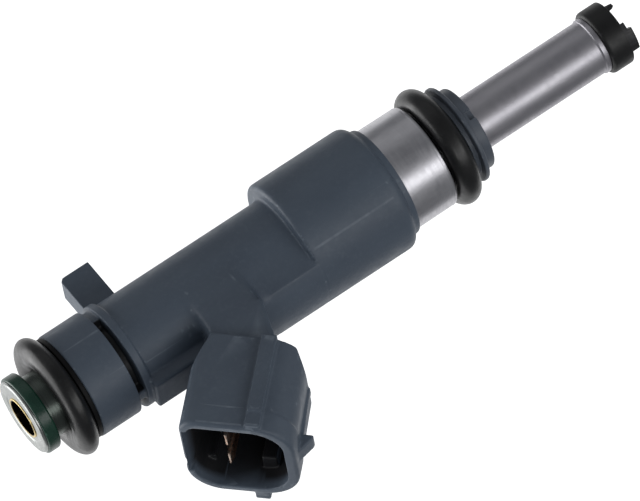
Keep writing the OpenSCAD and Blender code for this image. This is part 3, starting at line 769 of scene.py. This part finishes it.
def makeHousing():
    b = barrel
    top = boxMm("upper_spacer")[0].z
    lipR, coilR, boreR, boreTop = 6.62, 6.25, 3.1, 47.5
    coilTop, coneFoot = 19.9, 7.95
    housing = turnPiece("housingPiece", [
        (boreR, coilTop, 0), (coilR, coilTop, 0), (coilR, b["foot"], 0), (lipR, b["foot"], 0.15),
        (b["wideR"] - 0.95, coneFoot, 0.1), (b["wideR"], coneFoot, b["footRound"]),
        (b["wideR"], b["shoulder"], 0.55), (b["r"], b["shoulder"], 0.25),
        (b["r"], b["flangeLow"], 0.15), (b["collarR"], b["flangeLow"], 0.15), (b["collarR"], top, 0.2),
        (tubeR, top, 0), (tubeR, boreTop, 0), (boreR, boreTop, 0)], 192)
    lug = addPrism("lug", [(-4.2, lugBox["low"]), (-lugBox["reach"], lugBox["low"]),
                           (-lugBox["reach"], lugBox["high"] - 0.45),
                           (0.45 - lugBox["reach"], lugBox["high"]), (-4.2, lugBox["high"])], lugBox["half"])
    spine = addBox("spine", (4.2, -b["spineHalf"], 33),
                   (b["spineReach"], b["spineHalf"], b["flangeLow"] + 0.3), 0.25)
    for add in (lug, spine, makeRaisedBack(), makeWeb(), makeShroud()):
        combine(housing, add, "UNION")
    combine(housing, makeSocketCutter(), "DIFFERENCE")
    cutClipGroove(housing)
    print("housing joined", len(housing.data.polygons))
    applyModifier(housing, "REMESH", mode="VOXEL", voxel_size=fineness["voxel"] * mm)
    applyModifier(housing, "SMOOTH", factor=0.5, iterations=fineness["smoothing"])
    soften(housing, lambda p: 0.5 < p.x < 7.4 and 3.2 < abs(p.y) < 6.6 and 32.0 < p.z < 37.0, 160)
    soften(housing, lambda p: 0.5 < p.x < 7.0 and 3.2 < abs(p.y) < 6.6 and 26.4 < p.z < 29.6, 200)
    print("housing remeshed", len(housing.data.polygons))
    triangles = 2 * len(housing.data.polygons)
    applyModifier(housing, "DECIMATE", ratio=min(1, fineness["most"] / triangles))
    smooth(housing, 60)
    markSocketShade(housing)
    return wear(housing, "overmould", finishes["slate"], "housing")


# seals
def makeORing(name, node, halfR, halfH, shaftR):
    # the cord is squeezed a little out of round and pressed flat on its shaft
    low, high = boxMm(node)
    ringR, centreZ = high.x - halfR, high.z - halfH
    corners = []
    for k in range(64):
        a = 2 * math.pi * (k + 0.5) / 64
        corners.append((max(ringR + halfR * math.cos(a), shaftR), centreZ + halfH * math.sin(a), 0))
    return turnPiece(name, corners, 192)


def makeSeals():
    upper = makeORing("upperORing", "upper_o_ring", 1.77, 1.3, tubeR)
    smooth(upper)
    wear(upper, "o_ring_rubber", finishes["rubber"], "upper_o_ring")
    lower = makeORing("lowerORing", "lower_o_ring", 1.45, 1.45, 4.4)
    smooth(lower)
    wear(lower, "o_ring_rubber", finishes["rubber"], "lower_o_ring")
    low, high = boxMm("upper_spacer")
    spacer = turnPiece("spacer", [(tubeR, low.z, 0), (high.x, low.z, 0.1), (high.x, high.z, 0.1),
                                  (tubeR, high.z, 0)])
    smooth(spacer)
    wear(spacer, "spacer_black", finishes["spacerNylon"], "upper_spacer")
    low, high = boxMm("inlet_backup_ring")
    ring = turnPiece("backupRing", [(tubeR, low.z, 0), (high.x, low.z, 0.3), (high.x, high.z, 0.25),
                                    (tubeR, high.z, 0)])
    smooth(ring)
    wear(ring, "seal_green", finishes["greenNylon"], "inlet_backup_ring")


# steel and brass
def makeInletTube():
    low, high = boxMm("inlet_tube")
    lip = boxMm("inlet_backup_ring")[1].z
    coreR, coreBoreR, mouthR, mouthFloor, stepZ = 3.1, 1.75, 2.5, 42, 47.5
    tube = turnPiece("inletTubePiece", [
        (coreBoreR, low.z, 0), (coreR, low.z, 0.1), (coreR, stepZ, 0), (tubeR, stepZ, 0), (tubeR, 53.2, 0),
        (tubeR - 0.08, 53.4, 0.1), (tubeR - 0.08, 53.7, 0.1), (tubeR, 53.85, 0), (tubeR, lip, 0),
        (high.x, lip, 0.05), (high.x, high.z, 0.28), (3.1, high.z - 0.02, 0.1), (2.95, high.z - 0.1, 0.1),
        (mouthR, high.z - 0.12, 0), (mouthR, mouthFloor, 0), (coreBoreR, mouthFloor, 0)])
    smooth(tube)
    wear(tube, "turned_steel", finishes["inletSteel"], "inlet_tube")
    low, high = boxMm("filter_collar")
    collar = turnPiece("filterCollar", [(2.2, low.z, 0), (mouthR, low.z, 0), (mouthR, high.z, 0.06),
                                        (2.2, high.z, 0.12)])
    smooth(collar)
    wear(collar, "filter_brass", finishes["brass"], "filter_collar")


def makeCup():
    low, high = boxMm("magnet_housing")
    r, innerR, neckR = high.x, 5.7, 4.4
    floor = low.z + 0.8
    cup = turnPiece("coilCup", [
        (neckR, low.z, 0), (r - 0.35, low.z, 0.1), (r - 0.1, low.z + 0.12, 0.1), (r, low.z + 0.42, 0.15),
        (r - 0.05, low.z + 0.55, 0.05), (r - 0.03, low.z + 0.8, 0), (r, 7.0, 0), (r, high.z, 0.1),
        (innerR, high.z, 0), (innerR, floor, 0), (neckR, floor, 0)], 192)
    smooth(cup)
    wear(cup, "cup_steel", finishes["cupSteel"], "magnet_housing")


def makeNozzleTube():
    low, high = boxMm("nozzle_tube")
    r, bead, boreR = 3.26, high.x, 2.6
    tube = turnPiece("nozzleTubePiece", [
        (boreR, low.z, 0), (r, low.z, 0.1), (r, -21.3, 0), (bead - 0.02, -21.3, 0.05), (bead, -20.75, 0.12),
        (r + 0.02, -20.62, 0.08), (r - 0.03, -20.5, 0.05), (r, -20.35, 0.1), (r, high.z, 0),
        (boreR, high.z, 0)], 192)
    smooth(tube)
    wear(tube, "turned_steel", finishes["turnedSteel"], "nozzle_tube")


# plastic at the nozzle
def makeRetainer():
    low, high = boxMm("retainer_ring")
    boreR, hubR, discR, discLow, discHigh = 3.9, 5.05, 5.98, -2.85, -2.3
    ring = turnPiece("retainerPiece", [
        (boreR, low.z, 0), (hubR, low.z, 0.3), (hubR, discLow, 0.12), (discR, discLow, 0.2),
        (discR, discHigh, 0.2), (hubR, discHigh, 0.08), (hubR, high.z, 0.1), (boreR, high.z, 0)], 160)
    for angle in (72, 252):
        notch = addBox("notch", (4.4, -0.6, low.z - 1), (7.6, 0.6, low.z + 0.8), 0.1)
        notch.matrix_world = Matrix.Rotation(math.radians(angle), 4, "Z")
        applyPlace(notch)
        combine(ring, notch, "DIFFERENCE")
    smooth(ring)
    wear(ring, "retainer_grey", finishes["retainerNylon"], "retainer_ring")


def makeCap():
    low, high = boxMm("nozzle_cap")
    r, sprayR, shaftR = 3.9, 1.5, 3.26
    face, floor = -24.0, -22.9
    cap = turnPiece("nozzleCapPiece", [
        (sprayR, face, 0.1), (r, face, 0.2), (r, high.z, 0.5), (shaftR, high.z, 0.08), (shaftR, floor, 0),
        (sprayR, floor, 0)], 160)
    steps = ((-17.5, 24, low.z), (20, 38, face - 0.42))  # each tooth has a low step beside it
    for angle in (27, 207):
        for fromAngle, toAngle, bottom in steps:
            tooth = turnPiece("tooth", [(2.8, bottom, 0.12), (r - 0.02, bottom, 0.18), (r - 0.02, -23.6, 0),
                                        (2.8, -23.6, 0)], 160)
            wedge = wedgeCutter(angle + fromAngle, angle + toAngle, 9, low.z - 1, -22)
            combine(cap, combine(tooth, wedge, "INTERSECT"), "UNION")
    gate = addPrism("gate", [(3.0, -23.8), (3.65, -23.8), (3.5, low.z + 0.02), (3.2, low.z + 0.25)],
                    0.3, 0.05)
    gate.matrix_world = Matrix.Rotation(math.radians(109), 4, "Z")
    applyPlace(gate)
    combine(cap, gate, "UNION")
    smooth(cap)
    wear(cap, "cap_black", finishes["capNylon"], "nozzle_cap")


# terminals
blade = {"h": -1.5, "t": 0.64, "w": 2.0, "pitch": 3.8, "recess": 1.2, "stemX": 4.2, "footZ": 17.9}


def makeTerminals():
    for node, side in (("terminal_a", 1), ("terminal_b", -1)):
        c = math.cos(math.radians(shroud["tilt"]))
        nearH, farH = blade["h"] + blade["t"] / 2, blade["h"] - blade["t"] / 2

        def along(h, t):
            return (shroud["rimX"] + (h + t) * c, shroud["rimZ"] + (t - h) * c)

        def crossing(x, h):
            return (x, shroud["rimZ"] + x - shroud["rimX"] - h / c)

        x = blade["stemX"]
        tip = blade["recess"]
        strip = addPrism("strip", [
            (x, blade["footZ"]), (x + blade["t"], blade["footZ"]), crossing(x + blade["t"], nearH),
            along(nearH, -tip - 0.8), along(blade["h"] + 0.12, -tip), along(blade["h"] - 0.12, -tip),
            along(farH, -tip - 0.8), crossing(x, farH)], blade["w"] / 2)
        strip.name = "terminal" + ("A" if side > 0 else "B")
        only(strip)
        bpy.ops.object.mode_set(mode="EDIT")
        bpy.ops.mesh.select_all(action="SELECT")
        bpy.ops.mesh.bevel(offset=0.07 * mm, segments=2)
        bpy.ops.mesh.select_all(action="SELECT")
        bpy.ops.transform.translate(value=(0, side * blade["pitch"] / 2 * mm, 0))
        bpy.ops.object.mode_set(mode="OBJECT")
        smooth(strip, 40)
        wear(strip, "terminal_bronze", finishes["bronze"], node)


# CAD pieces that stay as they are
inside = {"filter_cage": "cageNylon", "filter_mesh": "cloth", "adjusting_sleeve": "brass",
          "return_spring": "springWire", "armature": "groundSteel", "needle_tube": "groundSteel",
          "valve_ball": "groundSteel", "valve_seat": "groundSteel", "orifice_plate": "groundSteel",
          "valve_body": "groundSteel", "flux_washer": "groundSteel", "isolating_sleeve": "groundSteel",
          "coil_bobbin": "bobbinNylon", "coil_winding": "magnetWire"}


def dressInside():
    for node, finish in inside.items():
        piece = nodes[node]
        piece.data.materials.clear()
        piece.data.materials.append(finishes[finish])


makeCamera()
makeStudio()
finishes = makeFinishes()
dressInside()
print("studio and finishes ready")
makeSeals()
makeInletTube()
makeCup()
makeNozzleTube()
makeRetainer()
makeCap()
makeTerminals()
makeHousing()
